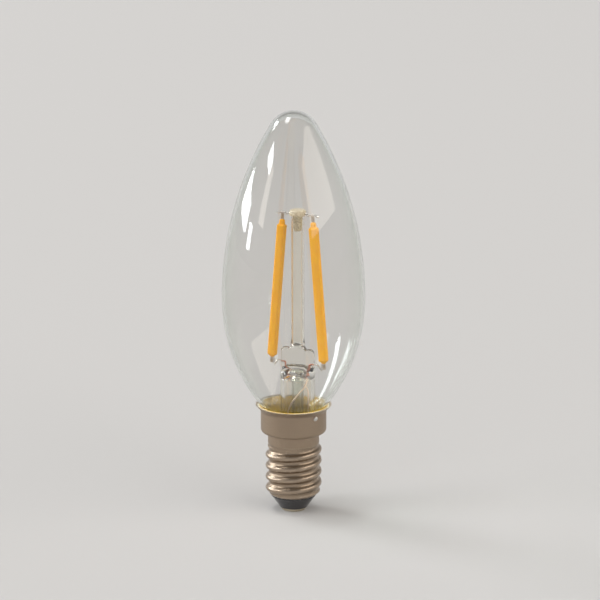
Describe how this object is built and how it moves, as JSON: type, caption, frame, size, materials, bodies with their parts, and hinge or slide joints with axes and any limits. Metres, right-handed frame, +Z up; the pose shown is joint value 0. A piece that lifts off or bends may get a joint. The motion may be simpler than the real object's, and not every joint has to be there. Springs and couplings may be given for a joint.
{
  "type": "candle bulb",
  "caption": "Clear candle-shaped glass bulb with LED filament sticks on a glass stem, above a plated round-thread screw cap.",
  "frame": {"origin": "centre of the flat contact face under the cap", "axes": "+Z up the bulb's axis from the contact to the glass tip, +X towards the right-hand filament, -Y to the front"},
  "size_m": [0.035, 0.035, 0.1],
  "materials": {
    "clear_glass": "clear blown glass, smooth",
    "stem_glass": "clear drawn tube glass, pressed at the seal",
    "button_glass": "milky pressed glass",
    "phosphor_coat": "yellow-orange phosphor silicone, matt",
    "tab_metal": "plain nickel-plated strip",
    "bright_wire": "bright drawn nickel wire",
    "seal_copper": "reddish copper-clad wire",
    "lead_copper": "tinned copper wire, slightly dull",
    "golden_cement": "golden basing cement, grainy",
    "nickel_plate": "nickel-plated brass sheet, bright",
    "solder": "soft solder, satin",
    "black_insulator": "black glass, glossy",
    "contact_metal": "tinned brass contact, lightly worn",
    "circuit_board": "green solder mask",
    "black_epoxy": "black moulded package",
    "capacitor_can": "bare aluminium can",
    "resistor_coat": "grey-blue lacquer"
  },
  "bodies": {
    "root": {"glass_envelope": "clear_glass", "stem_flare": "stem_glass", "exhaust_tube": "stem_glass", "column_tube": "stem_glass", "column_button": "button_glass", "bridge_wire": "bright_wire", "filament_left": "phosphor_coat", "filament_right": "phosphor_coat", "filament_tab_left_top": "tab_metal", "filament_tab_left_bottom": "tab_metal", "filament_tab_right_top": "tab_metal", "filament_tab_right_bottom": "tab_metal", "lead_wire_left": "bright_wire", "lead_wire_right": "bright_wire", "seal_wire_left": "seal_copper", "seal_wire_right": "seal_copper", "outer_lead_left": "lead_copper", "outer_lead_right": "lead_copper", "basing_cement": "golden_cement", "cap_shell": "nickel_plate", "side_solder": "solder", "cap_insulator": "black_insulator", "centre_contact": "contact_metal", "driver_board": "circuit_board", "bridge_rectifier": "black_epoxy", "driver_ic": "black_epoxy", "smoothing_capacitor": "capacitor_can", "fusible_resistor": "resistor_coat", "live_wire": "lead_copper", "resistor_lead": "lead_copper", "neutral_wire": "lead_copper"}
  },
  "joints": []
}
